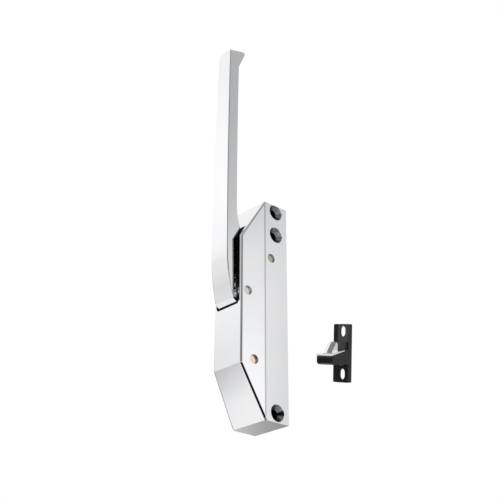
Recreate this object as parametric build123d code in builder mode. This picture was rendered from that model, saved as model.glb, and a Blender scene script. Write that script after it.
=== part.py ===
"""Edge-mount handle latch with a hook bolt, and the strike that it closes on.

Millimetres. +Z is up, -Y is the front (the handle's side), +Y the open rear, and X runs
across the casing. The origin is on the axis of the lower fixing screw, in the casing's
middle plane. The latch is fixed by three screws along X into the edge of a door.
"""

from build123d import *
from math import acos, atan2, cos, degrees, hypot, pi, radians, sin, sqrt
import os

os.makedirs("parts", exist_ok=True)

# Casing, a hollow die casting
casing_width = 32.3
base_depth = 20.2
cover_depth = 19.1
front_width = 27.2
lower_bevel_height = 34.8
upper_bevel_height = 31.3
side_wall = 3.0
front_wall = 3.0
lower_block_height = 13.0
roof_above_anchor = 7.5
upper_block_height = 35.0
edge_round = 1.6
side_crease_round = 9.0
apex_round = 1.5
end_round = 0.6

# Fixing screws through the casing, along X
screw_from_rear = 9.9
lower_screw_from_bottom = 6.5
top_screw_from_top = 5.7
second_screw_from_top = 23.3
screw_hole_radius = 2.9
countersink_radius = 5.85
countersink_angle = 82.0

# Cross pins, all of one bar size, with their ends below the casing's surface
pin_radius = 3.1
pin_recess = 1.1
handle_pivot_from_rear = 34.0
handle_pivot_from_bottom = 85.9
bolt_pivot_from_rear = 29.0
bolt_pivot_from_bottom = 38.8
anchor_from_rear = 14.6
anchor_from_bottom = 114.5
pin_seat_gap = 0.02
running_gap = 0.05
side_gap = 0.3
boss_radius = 4.9
handle_boss_face = 9.6
bolt_boss_face = 10.0
anchor_boss_face = 9.0

# Pocket in the casing's front, which the handle folds into
pocket_width = 23.2
pocket_bottom_from_bottom = 76.3
pocket_top_from_bottom = 134.8
pocket_corner_radius = 5.4
pocket_lip_drop = 1.5
pad_wall_from_rear = 33.0

# Handle, a solid die casting
grip_proud = 8.2
grip_thickness = 8.5
handle_length_above_pivot = 193.1
handle_foot_width = 17.7
handle_tip_width = 13.0
grip_bow = 2.3
hook_reach = 14.3
hook_height = 12.2
hook_top_rise = 3.5
hook_nose_rise = 1.9
hook_nose_setback = 2.0
bow_start_above_pivot = 32.1
flare_length = 32.0
belly_setback = 1.3
belly_above_pivot = 12.1
foot_crease_ahead = 8.6
foot_crease_below = 6.0
foot_edge_ahead = 5.1
foot_edge_below = 7.9
foot_heel_rise = 0.4
web_corner_back = 0.2
web_corner_rise = 2.6
handle_left_corner_radius = 4.0
handle_right_corner_radius = 0.8
handle_edge_round = 0.7
finger_thickness = 8.0
finger_radius = 11.4
finger_angle = -30.0
hub_radius = 8.2
hub_side_radius = 5.8
finger_end_radius = 4.4
spring_pin_back = 2.0
spring_pin_rise = 20.1
spring_pin_radius = 1.5
spring_lug_radius = 3.2
spring_lug_gap = 6.4
spring_lug_span = 12.0

# Link plates between handle and bolt
link_plate_thickness = 2.0
link_side_gap = 0.5
link_end_radius = 4.2
link_pin_radius = 2.0
link_slot_gap = 0.3
link_slot_side_gap = 0.35
link_free_travel = 7.0
link_head_radius = 3.2
link_head_thickness = 1.0
link_end_gap = 0.15
pin_end_length = 0.7
clip_thickness = 0.6
clip_radius = 3.3
clip_groove_radius = 1.5
clip_groove_gap = 0.05
clip_mouth = 2.4

# Hook bolt
bolt_thickness = 8.0
bolt_hub_radius = 6.8
bolt_boss_radius = 4.5
bolt_hole_back = 17.0
bolt_hole_rise = 9.7
hook_from_rear = 1.0
hook_tip_thickness = 3.5
hook_nose_chamfer = 1.0
hook_tip_room = 0.8
hook_top_height = 9.0
hook_top_slope = 3.5
hook_top_setback = 3.0
tooth_head_room = 1.1
shelf_end_room = 1.5
stop_bar_from_rear = 18.0
stop_bar_depth = 3.5
stop_bar_height = 5.2
stop_bar_drop = 2.5

# Strike, shown standing apart behind the latch
strike_height = 40.6
strike_width = 17.8
strike_thickness = 3.2
strike_corner_radius = 1.2
strike_flat_width = 11.4
strike_edge_drop = 1.5
slot_width = 5.6
slot_length = 7.4
slot_spacing = 29.6
slot_pair_rise = 0.4
slot_offset = 2.6
slot_web = 1.3
slot_relief_side = 2.6
slot_relief_end = 0.5
shelf_reach = 14.2
shelf_nose_top = -0.3
shelf_root_top = 2.7
shelf_bottom = -8.2
shelf_nose_radius = 2.2
shelf_lip_radius = 1.0
shelf_corner_radius = 1.4
wear_plate_length = 11.0
wear_plate_front = 1.6
wear_plate_rear = 0.6
wear_plate_round = 0.7
tooth_width = 8.6
tooth_height = 6.3
tooth_from_plate = 5.8
tooth_length = 5.4
tooth_top_length = 1.0
tooth_corner_radius = 1.6
tooth_root = 0.3
rivet_from_tooth_rear = 2.3
rivet_spacing = 4.2
rivet_bite = 1.0
rivet_radius = 1.25
rivet_head_radius = 1.9
rivet_head_thickness = 0.9
strike_plate_gap = 1.0
shelf_level_below_bolt_pivot = 4.8
strike_across = 15.5
strike_behind = 64.4
strike_above = 56.7
strike_turns = (13.3, 16.2, -8.3)

# Springs, washers and the rubber pad
handle_spring_wire = 1.0
handle_spring_radius = 3.7
handle_spring_turns = 3
handle_spring_pitch = 2.4
handle_spring_start = 5.7
bolt_spring_wire = 1.2
bolt_spring_radius = 5.4
bolt_spring_pitch = 1.75
bolt_spring_leg_back = 8.5
bolt_spring_rest_angle = 249.0
bolt_spring_foot = 12.0
bolt_spring_hole_depth = 1.6
sleeve_wall = 1.2
sleeve_near = 2.7
washer_radius = 5.2
pad_thickness = 2.7
pad_width = 10.0
pad_height = 8.0
pad_corner = 1.5
pad_edge = 0.6
pad_below_pocket_top = 4.0

# Datum lines of the casing
rear_y = screw_from_rear
waist_y = rear_y - base_depth
front_y = waist_y - cover_depth
bottom_z = -lower_screw_from_bottom
casing_height = anchor_from_bottom + roof_above_anchor + upper_block_height
top_z = bottom_z + casing_height
lower_crease_z = bottom_z + lower_bevel_height
upper_crease_z = top_z - upper_bevel_height
pocket_bottom_z = bottom_z + pocket_bottom_from_bottom
pocket_top_z = bottom_z + pocket_top_from_bottom
inner_front_y = front_y + front_wall
pad_wall_y = rear_y - pad_wall_from_rear

# Pin axes, as (y, z)
handle_pivot = (rear_y - handle_pivot_from_rear, bottom_z + handle_pivot_from_bottom)
bolt_pivot = (rear_y - bolt_pivot_from_rear, bottom_z + bolt_pivot_from_bottom)
anchor = (rear_y - anchor_from_rear, bottom_z + anchor_from_bottom)


def half_width_at(y):
    """Half the casing's outer width at a depth y."""
    if y >= waist_y:
        return casing_width / 2
    share = (waist_y - y) / cover_depth
    return casing_width / 2 - share * (casing_width - front_width) / 2


def polar(centre, radius, angle):
    """A point of the YZ plane at a radius and an angle in degrees from +Y."""
    return (centre[0] + radius * cos(radians(angle)), centre[1] + radius * sin(radians(angle)))


def cross_bar(centre, radius, x_low, x_high, mode=Mode.ADD):
    """A round bar along X, or its hole, about a (y, z) axis."""
    with Locations(Location((x_low, centre[0], centre[1]), (0, 90, 0))):
        Cylinder(radius, x_high - x_low, align=(Align.CENTER, Align.CENTER, Align.MIN), mode=mode)


def both_sides(centre, radius, x_near, x_far, mode=Mode.ADD):
    """The same round bar on the left and on the right of the middle plane."""
    cross_bar(centre, radius, x_near, x_far, mode)
    cross_bar(centre, radius, -x_far, -x_near, mode)


def sleeve_pair(centre, inner, outer, x_near, x_far):
    """Two rings, left and right of the middle plane."""
    for x_low, x_high in ((x_near, x_far), (-x_far, -x_near)):
        cross_bar(centre, outer, x_low, x_high)
        cross_bar(centre, inner, x_low, x_high, Mode.SUBTRACT)


def finish(piece, name):
    """Name a finished piece and write it."""
    piece.part.label = name
    export_step(piece.part, f"parts/{name}.step")


# Hollow of the casing: one core for the mechanism, one for the handle's pocket
bevel_run = sqrt(cover_depth**2 + lower_bevel_height**2)
bevel_in_y = front_wall * lower_bevel_height / bevel_run
bevel_in_z = front_wall * cover_depth / bevel_run
bevel_slope = cover_depth / lower_bevel_height
core_floor_z = bottom_z + lower_block_height
core_roof_z = top_z - upper_block_height
core_floor_y = waist_y + bevel_in_y - (core_floor_z - bottom_z - bevel_in_z) * bevel_slope
core_crease_z = bottom_z + bevel_in_z + (waist_y + bevel_in_y - inner_front_y) / bevel_slope
core_half = casing_width / 2 - side_wall
past_rear = rear_y + 1.0

with BuildPart() as core:
    with BuildSketch(Plane.YZ):
        with BuildLine():
            Polyline(
                (past_rear, core_floor_z),
                (core_floor_y, core_floor_z),
                (inner_front_y, core_crease_z),
                (inner_front_y, core_roof_z),
                (past_rear, core_roof_z),
                close=True,
            )
        make_face()
    extrude(amount=core_half, both=True)
    with BuildSketch(Plane.XY.offset(bottom_z)):
        with BuildLine():
            Polyline(
                (core_half, past_rear),
                (core_half, waist_y),
                (pocket_width / 2, inner_front_y),
                (-pocket_width / 2, inner_front_y),
                (-core_half, waist_y),
                (-core_half, past_rear),
                close=True,
            )
        make_face()
    extrude(amount=casing_height, mode=Mode.INTERSECT)
    fillet(core.edges().filter_by(Axis.Z).sort_by(Axis.Y)[:2], radius=end_round)

pocket_front_y = front_y - 5.0
pocket_floor_z = pocket_bottom_z - pocket_lip_drop

with BuildPart() as pocket:
    with BuildSketch(Plane.YZ):
        with BuildLine():
            Polyline(
                (pocket_front_y, pocket_bottom_z),
                (front_y, pocket_bottom_z),
                (inner_front_y, pocket_floor_z),
                (pad_wall_y, pocket_floor_z),
                (pad_wall_y, pocket_top_z),
                (pocket_front_y, pocket_top_z),
                close=True,
            )
        make_face()
    extrude(amount=pocket_width / 2, both=True)
    with BuildSketch(Plane.XZ) as pocket_front:
        with Locations((0, (pocket_floor_z + pocket_top_z) / 2)):
            Rectangle(pocket_width, pocket_top_z - pocket_floor_z)
        fillet(pocket_front.vertices().group_by(Axis.Y)[0], radius=pocket_corner_radius)
    extrude(amount=casing_height, both=True, mode=Mode.INTERSECT)

# Casing
bar_high_z = bolt_pivot[1] - stop_bar_drop
bar_low_z = bar_high_z - stop_bar_height
bar_rear_y = rear_y - stop_bar_from_rear

with BuildPart() as casing:
    with BuildSketch(Plane.YZ):
        with BuildLine():
            Polyline(
                (rear_y, bottom_z),
                (waist_y, bottom_z),
                (front_y, lower_crease_z),
                (front_y, upper_crease_z),
                (waist_y, top_z),
                (rear_y, top_z),
                close=True,
            )
        make_face()
    extrude(amount=casing_width / 2, both=True)
    with BuildSketch(Plane.XY.offset(bottom_z)):
        with BuildLine():
            Polyline(
                (casing_width / 2, rear_y),
                (casing_width / 2, waist_y),
                (front_width / 2, front_y),
                (-front_width / 2, front_y),
                (-casing_width / 2, waist_y),
                (-casing_width / 2, rear_y),
                close=True,
            )
        plan = make_face()
        waist_corners = plan.vertices().filter_by(lambda corner: corner.Y == waist_y)
        fillet(waist_corners, radius=side_crease_round)
    extrude(amount=casing_height, mode=Mode.INTERSECT)
    cover_edges = casing.edges().filter_by(lambda edge: edge.center().Y < waist_y - 1.0)
    fillet(cover_edges, radius=edge_round)
    apex_edge = casing.edges().filter_by(Axis.X).filter_by(
        lambda edge: edge.center().Z > top_z - 0.1 and edge.center().Y < rear_y - 1.0
    )
    fillet(apex_edge, radius=apex_round)
    add(core.part, mode=Mode.SUBTRACT)
    add(pocket.part, mode=Mode.SUBTRACT)
    both_sides(handle_pivot, boss_radius, handle_boss_face, half_width_at(front_y) - edge_round)
    both_sides(bolt_pivot, boss_radius, bolt_boss_face, half_width_at(front_y))
    both_sides(anchor, boss_radius, anchor_boss_face, core_half + 1.0)
    with BuildSketch(Plane.YZ.offset(-core_half - 1.0)):
        with Locations((bar_rear_y - stop_bar_depth / 2, (bar_low_z + bar_high_z) / 2)):
            Rectangle(stop_bar_depth, stop_bar_height)
    extrude(amount=2 * (core_half + 1.0))
    for pin_axis in (handle_pivot, bolt_pivot, anchor):
        cross_bar(
            pin_axis,
            pin_radius + pin_seat_gap,
            -casing_width / 2 - 1.0,
            casing_width / 2 + 1.0,
            Mode.SUBTRACT,
        )
    screw_levels = (0.0, top_z - second_screw_from_top, top_z - top_screw_from_top)
    for screw_z in screw_levels:
        with Locations(Plane(origin=(casing_width / 2, 0, screw_z), z_dir=(1, 0, 0))):
            CounterSinkHole(
                radius=screw_hole_radius,
                counter_sink_radius=countersink_radius,
                counter_sink_angle=countersink_angle,
            )
finish(casing, "casing")


def cross_pin(centre, name):
    """A plain pin through both side walls, its ends sunk below them."""
    half = half_width_at(centre[0]) - pin_recess
    with BuildPart() as pin:
        cross_bar(centre, pin_radius, -half, half)
        chamfer(pin.edges().filter_by(GeomType.CIRCLE), length=0.25)
    finish(pin, name)


cross_pin(handle_pivot, "handle_pivot_pin")
cross_pin(bolt_pivot, "bolt_pivot_pin")
cross_pin(anchor, "spring_anchor_pin")

# Handle: a side outline for its full width, and a thicker hub and finger in the middle
grip_front_y = front_y - grip_proud
grip_rear_y = grip_front_y + grip_thickness
handle_top_z = handle_pivot[1] + handle_length_above_pivot
bow_start_z = handle_pivot[1] + bow_start_above_pivot
tip_front_y = grip_front_y + grip_bow
bow_radius = ((handle_top_z - bow_start_z) ** 2 + grip_bow**2) / (2 * grip_bow)
notch_z = handle_top_z - hook_height
hook_tip_y = tip_front_y + hook_reach
foot_crease = (handle_pivot[0] - foot_crease_ahead, handle_pivot[1] - foot_crease_below)
foot_edge = (handle_pivot[0] - foot_edge_ahead, handle_pivot[1] - foot_edge_below)
web_rear_y = pad_wall_y - pad_thickness - side_gap
web_top_z = pocket_top_z - pad_below_pocket_top
web_corner = (web_rear_y + web_corner_back, web_top_z + web_corner_rise)
flare_z = bow_start_z + flare_length
spring_pin = (handle_pivot[0] + spring_pin_back, handle_pivot[1] + spring_pin_rise)
link_top = polar(handle_pivot, finger_radius, finger_angle)
half_foot = handle_foot_width / 2


def bow_at(z):
    """How far the grip has bent back at a height z."""
    return (z - bow_start_z) ** 2 / (2 * bow_radius)


def tangent_points(big, big_radius, small, small_radius):
    """The four corners of the straight-sided web between two round bosses."""
    reach = hypot(small[0] - big[0], small[1] - big[1])
    angle = degrees(atan2(small[1] - big[1], small[0] - big[0]))
    spread = degrees(acos((big_radius - small_radius) / reach))
    return (
        polar(big, big_radius, angle + spread),
        polar(small, small_radius, angle + spread),
        polar(small, small_radius, angle - spread),
        polar(big, big_radius, angle - spread),
    )


with BuildPart() as handle:
    with BuildSketch(Plane.YZ):
        with BuildLine():
            ThreePointArc(
                foot_crease,
                (grip_front_y + belly_setback, handle_pivot[1] + belly_above_pivot),
                (grip_front_y, bow_start_z),
            )
            front_bow = TangentArc(
                (grip_front_y, bow_start_z), (tip_front_y, handle_top_z), tangent=(0, 1)
            )
            hook_top = Line(
                front_bow @ 1, (hook_tip_y - hook_nose_setback, handle_top_z + hook_top_rise)
            )
            hook_nose = Line(hook_top @ 1, (hook_tip_y, handle_top_z + hook_nose_rise))
            hook_slope = Line(hook_nose @ 1, (grip_rear_y + bow_at(notch_z), notch_z))
            rear_middle_z = (notch_z + flare_z) / 2
            rear_bow = ThreePointArc(
                hook_slope @ 1,
                (grip_rear_y + bow_at(rear_middle_z), rear_middle_z),
                (grip_rear_y + bow_at(flare_z), flare_z),
            )
            rear_flare = TangentArc(rear_bow @ 1, web_corner, tangent=rear_bow % 1)
            web_chamfer = Line(rear_flare @ 1, (web_rear_y, web_top_z))
            web_line = Line(web_chamfer @ 1, (web_rear_y, foot_edge[1] + foot_heel_rise))
            foot_inner = Line(web_line @ 1, foot_edge)
            Line(foot_inner @ 1, foot_crease)
        make_face()
    extrude(amount=half_foot, both=True)
    with BuildSketch(Plane.XZ):
        with BuildLine():
            Polyline(
                (half_foot, foot_edge[1]),
                (handle_tip_width / 2, handle_top_z + hook_top_rise),
                (-handle_tip_width / 2, handle_top_z + hook_top_rise),
                (-half_foot, foot_edge[1]),
                close=True,
            )
        make_face()
    extrude(amount=casing_height, both=True, mode=Mode.INTERSECT)
    tip_corners = handle.edges().filter_by(
        lambda edge: edge.center().Z > handle_top_z + 0.5
        and abs(edge.center().X) > 1.0
        and edge.length > hook_reach / 2
    )
    fillet(tip_corners.sort_by(Axis.X)[:1], radius=handle_left_corner_radius)
    fillet(tip_corners.sort_by(Axis.X)[-1:], radius=handle_right_corner_radius)
    front_edges = (
        handle.faces()
        .filter_by(lambda face: face.normal_at().Y < -0.9)
        .edges()
        .filter_by(lambda edge: abs(edge.tangent_at(0.5).X) < 0.99 or edge.center().Z > handle_top_z - 1.0)
    )
    fillet(front_edges, radius=handle_edge_round)
    cross_bar(handle_pivot, hub_side_radius, -half_foot, half_foot)
    with BuildSketch(Plane.YZ):
        with BuildLine():
            Polyline(
                *tangent_points(handle_pivot, hub_radius, link_top, finger_end_radius), close=True
            )
        make_face()
        with Locations(handle_pivot):
            Circle(hub_radius)
        with Locations(link_top):
            Circle(finger_end_radius)
    extrude(amount=finger_thickness / 2, both=True)
    with BuildSketch(Plane.YZ):
        with Locations(spring_pin):
            Circle(spring_lug_radius)
        with Locations((spring_pin[0] - spring_lug_radius, spring_pin[1])):
            Rectangle(2 * spring_lug_radius, 2 * spring_lug_radius)
    extrude(amount=spring_lug_span / 2, both=True)
    with BuildSketch(Plane.YZ):
        with Locations((web_rear_y + 2 * spring_lug_radius, spring_pin[1])):
            Rectangle(4 * spring_lug_radius, 3 * spring_lug_radius)
    extrude(amount=spring_lug_gap / 2, both=True, mode=Mode.SUBTRACT)
    cross_bar(handle_pivot, pin_radius + running_gap, -half_foot, half_foot, Mode.SUBTRACT)
    cross_bar(link_top, link_pin_radius + pin_seat_gap, -half_foot, half_foot, Mode.SUBTRACT)
    cross_bar(spring_pin, spring_pin_radius + pin_seat_gap, -half_foot, half_foot, Mode.SUBTRACT)
finish(handle, "handle")

with BuildPart() as spring_hook_pin:
    cross_bar(spring_pin, spring_pin_radius, -spring_lug_span / 2, spring_lug_span / 2)
finish(spring_hook_pin, "spring_hook_pin")

# Link plates, with a slot that lets the bolt lift by itself when the door shuts
link_bottom = (bolt_pivot[0] + bolt_hole_back, bolt_pivot[1] + bolt_hole_rise)
link_angle = degrees(atan2(link_top[1] - link_bottom[1], link_top[0] - link_bottom[0]))
plate_inner_x = finger_thickness / 2 + link_side_gap
plate_outer_x = plate_inner_x + link_plate_thickness
slot_low = polar(link_bottom, -link_slot_gap, link_angle)
slot_high = polar(link_bottom, link_free_travel, link_angle)
slot_radius = link_pin_radius + link_slot_side_gap


def round_ended(start, end, radius):
    """A round-ended bar outline between two points of the sketch."""
    length = hypot(end[0] - start[0], end[1] - start[1])
    angle = degrees(atan2(end[1] - start[1], end[0] - start[0]))
    with Locations(Location(((start[0] + end[0]) / 2, (start[1] + end[1]) / 2, 0), (0, 0, angle))):
        SlotCenterToCenter(length, 2 * radius)


def slot_face(start, end, radius, mode):
    """The same outline as a hole or a boss."""
    length = hypot(end[0] - start[0], end[1] - start[1])
    angle = degrees(atan2(end[1] - start[1], end[0] - start[0]))
    with Locations(Location(((start[0] + end[0]) / 2, (start[1] + end[1]) / 2, 0), (0, 0, angle))):
        SlotCenterToCenter(length, 2 * radius, mode=mode)


with BuildPart() as link_plates:
    for x_low in (plate_inner_x, -plate_outer_x):
        with BuildSketch(Plane.YZ.offset(x_low)):
            round_ended(link_bottom, link_top, link_end_radius)
            with Locations(link_top):
                Circle(link_pin_radius + running_gap, mode=Mode.SUBTRACT)
            slot_face(slot_low, slot_high, slot_radius, Mode.SUBTRACT)
        extrude(amount=link_plate_thickness)
finish(link_plates, "link_plates")

# Headed pins at the two ends of the link, each kept by a spring clip in a groove
head_face_x = -plate_outer_x - link_end_gap
groove_x = plate_outer_x + link_end_gap
pin_end_x = groove_x + clip_thickness + pin_end_length


def link_pin(centre, name):
    """A headed pin with a clip groove at its other end."""
    with BuildPart() as pin:
        cross_bar(centre, link_pin_radius, head_face_x - link_head_thickness, pin_end_x)
        cross_bar(centre, link_head_radius, head_face_x - link_head_thickness, head_face_x)
        groove_end_x = groove_x + clip_thickness + 2 * clip_groove_gap
        cross_bar(centre, link_pin_radius + 1.0, groove_x, groove_end_x, Mode.SUBTRACT)
        cross_bar(centre, clip_groove_radius, groove_x - 0.1, groove_end_x + 0.1)
    finish(pin, name)


def link_clip(centre, mouth_angle, name):
    """An open spring clip that sits in the groove of a link pin."""
    with BuildPart() as clip:
        with BuildSketch(Plane.YZ.offset(groove_x + clip_groove_gap)):
            with Locations(centre):
                Circle(clip_radius)
                Circle(clip_groove_radius + clip_groove_gap, mode=Mode.SUBTRACT)
            with Locations(Location((*polar(centre, clip_radius, mouth_angle), 0), (0, 0, mouth_angle))):
                Rectangle(2 * clip_radius, clip_mouth, mode=Mode.SUBTRACT)
        extrude(amount=clip_thickness)
    finish(clip, name)


link_pin(link_top, "link_upper_pin")
link_clip(link_top, 0.0, "link_upper_clip")
link_pin(link_bottom, "link_lower_pin")
link_clip(link_bottom, 90.0, "link_lower_clip")

# Hook bolt
shelf_z = bolt_pivot[1] - shelf_level_below_bolt_pivot
tooth_top_z = shelf_z + tooth_height
hook_rear_y = rear_y - hook_from_rear
hook_front_y = hook_rear_y - hook_tip_thickness
hook_tip_z = shelf_z + hook_tip_room
arm_low_z = tooth_top_z + tooth_head_room
arm_front_y = rear_y + strike_plate_gap - shelf_reach + shelf_end_room
spring_hole = (bolt_pivot[0] + bolt_spring_leg_back, bolt_pivot[1] + bolt_spring_radius)

arm_web = tangent_points(bolt_pivot, bolt_hub_radius, link_bottom, bolt_boss_radius)

with BuildPart() as latch_bolt:
    with BuildSketch(Plane.YZ):
        with BuildLine():
            Polyline(
                arm_web[0],
                arm_web[1],
                polar(link_bottom, bolt_boss_radius, 70.0),
                (hook_rear_y - hook_top_setback, arm_low_z + hook_top_height),
                (hook_rear_y, arm_low_z + hook_top_height - hook_top_slope),
                (hook_rear_y, hook_tip_z),
                (hook_front_y + hook_nose_chamfer, hook_tip_z),
                (hook_front_y, hook_tip_z + hook_nose_chamfer),
                (hook_front_y, arm_low_z),
                (arm_front_y, arm_low_z),
                polar(bolt_pivot, bolt_hub_radius, -28.0),
                bolt_pivot,
                close=True,
            )
        make_face()
        with Locations(bolt_pivot):
            Circle(bolt_hub_radius)
        with Locations(link_bottom):
            Circle(bolt_boss_radius)
    extrude(amount=bolt_thickness / 2, both=True)
    half_bolt = bolt_thickness / 2
    cross_bar(bolt_pivot, pin_radius + running_gap, -half_bolt, half_bolt, Mode.SUBTRACT)
    cross_bar(link_bottom, link_pin_radius + pin_seat_gap, -half_bolt, half_bolt, Mode.SUBTRACT)
    hole_floor_x = half_bolt - bolt_spring_hole_depth
    cross_bar(spring_hole, bolt_spring_wire / 2 + 0.1, hole_floor_x, half_bolt, Mode.SUBTRACT)
finish(latch_bolt, "latch_bolt")

# Washers, spacers and sleeves on the three cross pins
sleeve_bore = pin_radius + running_gap
with BuildPart() as handle_washers:
    sleeve_pair(handle_pivot, sleeve_bore, washer_radius, half_foot + 0.05, handle_boss_face - 0.05)
finish(handle_washers, "handle_pivot_washers")

with BuildPart() as bolt_spacers:
    spacer_outer = sleeve_bore + sleeve_wall
    sleeve_pair(bolt_pivot, sleeve_bore, spacer_outer, half_bolt + 0.1, bolt_boss_face - 0.1)
finish(bolt_spacers, "bolt_pivot_spacers")

with BuildPart() as anchor_sleeves:
    sleeve_pair(anchor, sleeve_bore, spacer_outer, sleeve_near, anchor_boss_face - 0.1)
finish(anchor_sleeves, "spring_anchor_sleeves")

# Rubber pad that the closed handle rests on
with BuildPart() as handle_pad:
    pad_z = pocket_top_z - pad_below_pocket_top - pad_height / 2
    pad_plane = Plane(origin=(0, pad_wall_y, pad_z), x_dir=(1, 0, 0), z_dir=(0, -1, 0))
    with BuildSketch(pad_plane):
        RectangleRounded(pad_width, pad_height, pad_corner)
    extrude(amount=pad_thickness)
    chamfer(handle_pad.faces().sort_by(Axis.Y)[0].edges(), length=pad_edge)
finish(handle_pad, "handle_rest_pad")


def joined_arcs(stations):
    """Two tangent arcs from each station to the next. A station is a point and a direction."""
    for (start, start_way), (end, end_way) in zip(stations, stations[1:]):
        chord = end - start
        both_ways = start_way + end_way
        spread = 2 * (1 - start_way.dot(end_way))
        along = chord.dot(both_ways)
        reach = (-along + sqrt(along**2 + spread * chord.dot(chord))) / spread
        first_knee = start + start_way * reach
        second_knee = end - end_way * reach
        middle = (first_knee + second_knee) * 0.5
        TangentArc(start, middle, tangent=start_way)
        TangentArc(middle, end, tangent=second_knee - first_knee)


def least_gap(points, wire, turn_points):
    """The least clear gap between points of a wire's centre line over half a turn apart."""
    nearest = min(
        (first - second).length
        for index, first in enumerate(points)
        for second in points[index + turn_points // 2 :]
    )
    return nearest - wire


def sampled(path_wire, count):
    """Points along a wire at even steps."""
    return [path_wire @ (index / count) for index in range(count + 1)]


# Extension spring that pulls the handle home, from the anchor pin to the hook pin
span_y = spring_pin[0] - anchor[0]
span_z = spring_pin[1] - anchor[1]
span = hypot(span_y, span_z)
along_spring = Vector(0, span_y / span, span_z / span)
across_spring = Vector(0, -span_z / span, span_y / span)
sideways = Vector(1, 0, 0)
anchor_point = Vector(0, *anchor)
coil_radius = handle_spring_radius
hook_centre_run = span - coil_radius + handle_spring_wire / 2 + spring_pin_radius + 0.05


def loop_station(run, angle, turn):
    """A point of an end loop, at an angle from the spring's own line."""
    ring = along_spring * cos(radians(angle)) + across_spring * sin(radians(angle))
    way = across_spring * cos(radians(angle)) - along_spring * sin(radians(angle))
    return anchor_point + along_spring * run + ring * coil_radius, way * turn


def coil_station(quarter):
    """A point of the coil after a number of quarter turns, starting at the side."""
    angle = quarter * 90.0
    run = handle_spring_start + handle_spring_pitch * quarter / 4
    ring = sideways * cos(radians(angle)) - across_spring * sin(radians(angle))
    way = sideways * -sin(radians(angle)) - across_spring * cos(radians(angle))
    climb = along_spring * (handle_spring_pitch / (2 * pi * coil_radius))
    return anchor_point + along_spring * run + ring * coil_radius, (way + climb).normalized()


half_turn_count = 2 * handle_spring_turns - 1
handle_spring_stations = (
    [loop_station(0.0, angle, -1) for angle in (330.0, 270.0, 180.0, 90.0)]
    + [coil_station(2 * half_turn) for half_turn in range(half_turn_count + 1)]
    + [loop_station(hook_centre_run, angle, -1) for angle in (90.0, 0.0, -90.0, -150.0)]
)

with BuildPart() as handle_return_spring:
    with BuildLine() as handle_spring_path:
        joined_arcs(handle_spring_stations)
    spring_start, spring_way = handle_spring_stations[0]
    with BuildSketch(Plane(origin=spring_start, z_dir=spring_way)):
        Circle(handle_spring_wire / 2)
    sweep(path=handle_spring_path.wire())
finish(handle_return_spring, "handle_return_spring")
handle_spring_points = sampled(handle_spring_path.wire(), 360)
print("handle spring gap", round(least_gap(handle_spring_points, handle_spring_wire, 56), 2))

# Torsion spring round the bolt's pivot, one leg in the bolt and one under the stop bar
bolt_axis_point = Vector(0, *bolt_pivot)
up = Vector(0, 0, 1)
back = Vector(0, 1, 0)
coil_x = bolt_thickness / 2 + side_gap + bolt_spring_wire / 2
leg_round = 1.2


def torsion_station(angle):
    """A point of the torsion spring's coil at an angle from +Y, counted from the first leg."""
    ring = back * cos(radians(angle)) + up * sin(radians(angle))
    way = up * cos(radians(angle)) - back * sin(radians(angle))
    climb = sideways * (bolt_spring_pitch / (2 * pi * bolt_spring_radius))
    run = coil_x + bolt_spring_pitch * (angle - 90.0) / 360.0
    return bolt_axis_point + ring * bolt_spring_radius + sideways * run, (way + climb).normalized()


foot_angle = bolt_spring_rest_angle + 720.0
torsion_angles = [90.0 + 180.0 * half_turn for half_turn in range(5)] + [foot_angle]
torsion_stations = [torsion_station(angle) for angle in torsion_angles]
leg_level = bolt_axis_point + up * bolt_spring_radius + back * bolt_spring_leg_back
leg_in_hole = leg_level + sideways * (hole_floor_x + 0.2)
leg_corner = leg_level + sideways * coil_x
leg_turn_in = leg_corner - sideways * leg_round
leg_turn_out = leg_corner - back * leg_round
coil_end, coil_end_way = torsion_stations[-1]

with BuildPart() as bolt_spring:
    with BuildLine() as bolt_spring_path:
        Line(leg_in_hole, leg_turn_in)
        TangentArc(leg_turn_in, leg_turn_out, tangent=sideways)
        Line(leg_turn_out, torsion_stations[0][0])
        joined_arcs(torsion_stations)
        Line(coil_end, coil_end + coil_end_way * bolt_spring_foot)
    with BuildSketch(Plane(origin=leg_in_hole, z_dir=sideways)):
        Circle(bolt_spring_wire / 2)
    sweep(path=bolt_spring_path.wire())
finish(bolt_spring, "bolt_torsion_spring")
bolt_spring_points = sampled(bolt_spring_path.wire(), 240)
print("bolt spring gap", round(least_gap(bolt_spring_points, bolt_spring_wire, 70), 2))

# Strike, in its own frame: x across the plate, z up, its back face at y = 0
strike_place = Location((strike_across, strike_behind, strike_above), strike_turns)
strike_side = Plane(strike_place * Plane.YZ.location)
strike_front = Plane(strike_place * Plane.XZ.location)
strike_level = Plane(strike_place)
shelf_ahead = Axis(strike_front.origin, strike_front.z_dir)
strike_up = Axis(strike_level.origin, strike_level.z_dir)
plate_front = -strike_thickness
shelf_front = plate_front - shelf_reach
shelf_rise = (shelf_root_top - shelf_nose_top) / shelf_reach
flat_edge_x = strike_width / 2 - strike_flat_width
tooth_rear = plate_front - tooth_from_plate
tooth_front = tooth_rear - tooth_length
tooth_base_z = shelf_nose_top + shelf_rise * (tooth_rear - shelf_front)
tooth_front_z = shelf_nose_top + shelf_rise * (tooth_front - shelf_front)
wear_plate_end = shelf_front + wear_plate_length
wear_plate_end_z = shelf_nose_top + shelf_rise * wear_plate_length
seat_front_z = shelf_nose_top - wear_plate_front
seat_rear_z = wear_plate_end_z - wear_plate_rear
slot_spots = [
    (slot_offset, slot_pair_rise + slot_spacing / 2),
    (slot_offset, slot_pair_rise - slot_spacing / 2),
]
rivet_spots = [
    (rivet_spacing / 2, tooth_rear - rivet_from_tooth_rear),
    (-rivet_spacing / 2, tooth_rear - rivet_from_tooth_rear),
]
rivet_top_z = tooth_base_z + rivet_bite
head_z = shelf_bottom + rivet_head_thickness


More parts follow.
